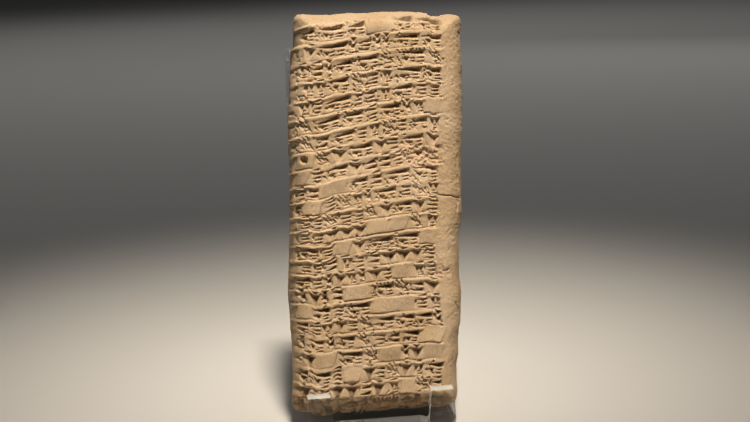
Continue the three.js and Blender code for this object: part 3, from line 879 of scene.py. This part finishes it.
class TABLET_OT_cradle(bpy.types.Operator):
    """Make the clear cradle with its polished edges"""
    bl_idname = "tablet.cradle"
    bl_label = "Acrylic Cradle"

    def execute(self, context):
        settings = context.scene.acrylic_cradle
        sheet = bmesh.new()
        sheet.from_mesh(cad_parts["cradle"].data)
        bmesh.ops.remove_doubles(sheet, verts=sheet.verts, dist=1e-6)
        bmesh.ops.dissolve_limit(
            sheet, angle_limit=math.radians(1.5), verts=sheet.verts, edges=sheet.edges, delimit=set())
        sharp = [e for e in sheet.edges if len(e.link_faces) == 2 and e.calc_face_angle() > math.radians(50)]
        bmesh.ops.bevel(
            sheet, geom=sharp, offset=settings.edge_round, offset_type="OFFSET", affect="EDGES",
            segments=2, profile=0.5, material=-1, clamp_overlap=True)
        mesh = bpy.data.meshes.new("acrylic_cradle")
        sheet.to_mesh(mesh)
        sheet.free()
        mesh.polygons.foreach_set("use_smooth", [True] * len(mesh.polygons))
        mesh.set_sharp_from_angle(angle=math.radians(38))
        mesh.materials.clear()
        mesh.materials.append(clear_acrylic(settings))
        mesh.materials.append(cut_edge(settings))
        for face in mesh.polygons:
            face.material_index = 1 if self.is_cut(face) else 0
        place_piece("acrylic_cradle", mesh, "cradle")
        return {"FINISHED"}

    def is_cut(self, face):
        """Whether a face is on the sheet's sides, the ledge's front between the lips, or a lip's tip."""
        side = abs(face.normal.x) > 0.2
        ledge = abs(face.normal.y) > 0.9 and LEDGE_FRONT[0] < face.center.y < LEDGE_FRONT[1]
        tip = face.normal.z > 0.6 and LIP_TIPS[0] < face.center.z < LIP_TIPS[1] and face.center.y < LIPS_BACK
        return side or ledge or tip


class TABLET_OT_stage(bpy.types.Operator):
    """Set the camera, the floor and the lights"""
    bl_idname = "tablet.stage"
    bl_label = "Stage"

    def execute(self, context):
        settings = context.scene.tablet_stage
        scene = context.scene
        back = Vector((
            -math.sin(settings.camera_turn) * math.cos(settings.camera_rise),
            -math.cos(settings.camera_turn) * math.cos(settings.camera_rise),
            math.sin(settings.camera_rise),
        ))
        camera = bpy.data.objects.new("camera", bpy.data.cameras.new("camera"))
        camera.data.lens = settings.lens
        camera.data.clip_start = 0.01
        camera.matrix_world = (
            Matrix.Translation(MIDDLE + back * settings.camera_far)
            @ back.to_track_quat("Z", "Y").to_matrix().to_4x4()
            @ Matrix.Rotation(-settings.camera_roll, 4, "Z")
        )
        scene.collection.objects.link(camera)
        scene.camera = camera
        self.floor(scene, settings)
        self.lights(scene)
        self.studio(scene, settings)
        scene.view_settings.view_transform = "Standard"
        return {"FINISHED"}

    def floor(self, scene, settings):
        sheet = bmesh.new()
        bmesh.ops.create_grid(sheet, x_segments=1, y_segments=1, size=settings.floor_reach)
        mesh = bpy.data.meshes.new("floor")
        sheet.to_mesh(mesh)
        sheet.free()
        mesh.materials.append(plain_floor(settings))
        floor = bpy.data.objects.new("floor", mesh)
        scene.collection.objects.link(floor)

    def lights(self, scene):
        for name, way, far, side, power, tone, spread, moved in LIGHTS:
            data = bpy.data.lights.new(name, "AREA")
            data.shape = "SQUARE"
            data.size = side
            data.energy = power
            data.color = linear(tone)[:3]
            data.spread = math.radians(spread)
            light = bpy.data.objects.new(name, data)
            way = Vector(way).normalized()
            aim = Vector((0, 0, 1)) if name == "backdrop" else way  # that one shines straight down
            at = MIDDLE + way * far + Vector(moved)
            light.matrix_world = Matrix.Translation(at) @ aim.to_track_quat("Z", "Y").to_matrix().to_4x4()
            scene.collection.objects.link(light)

    def studio(self, scene, settings):
        world = bpy.data.worlds.new("studio")
        world.use_nodes = True
        background = world.node_tree.nodes["Background"]
        background.inputs["Color"].default_value = linear(settings.studio_colour)
        background.inputs["Strength"].default_value = settings.studio_light
        scene.world = world


class TABLET_PT_panel(bpy.types.Panel):
    bl_label = "Tablet"
    bl_idname = "TABLET_PT_panel"
    bl_space_type = "VIEW_3D"
    bl_region_type = "UI"
    bl_category = "Tablet"

    def draw(self, context):
        for operator in (TABLET_OT_stage, TABLET_OT_clay, TABLET_OT_cradle):
            self.layout.operator(operator.bl_idname)


CLASSES = (
    TabletSettings, CradleSettings, StageSettings,
    TABLET_OT_clay, TABLET_OT_cradle, TABLET_OT_stage, TABLET_PT_panel,
)


def register():
    for cls in CLASSES:
        bpy.utils.register_class(cls)
    bpy.types.Scene.clay_tablet = bpy.props.PointerProperty(type=TabletSettings)
    bpy.types.Scene.acrylic_cradle = bpy.props.PointerProperty(type=CradleSettings)
    bpy.types.Scene.tablet_stage = bpy.props.PointerProperty(type=StageSettings)


def unregister():
    del bpy.types.Scene.clay_tablet
    del bpy.types.Scene.acrylic_cradle
    del bpy.types.Scene.tablet_stage
    for cls in reversed(CLASSES):
        bpy.utils.unregister_class(cls)


def main():
    register()
    bpy.ops.tablet.stage()
    bpy.ops.tablet.clay()
    bpy.ops.tablet.cradle()


if __name__ == "__main__":
    main()
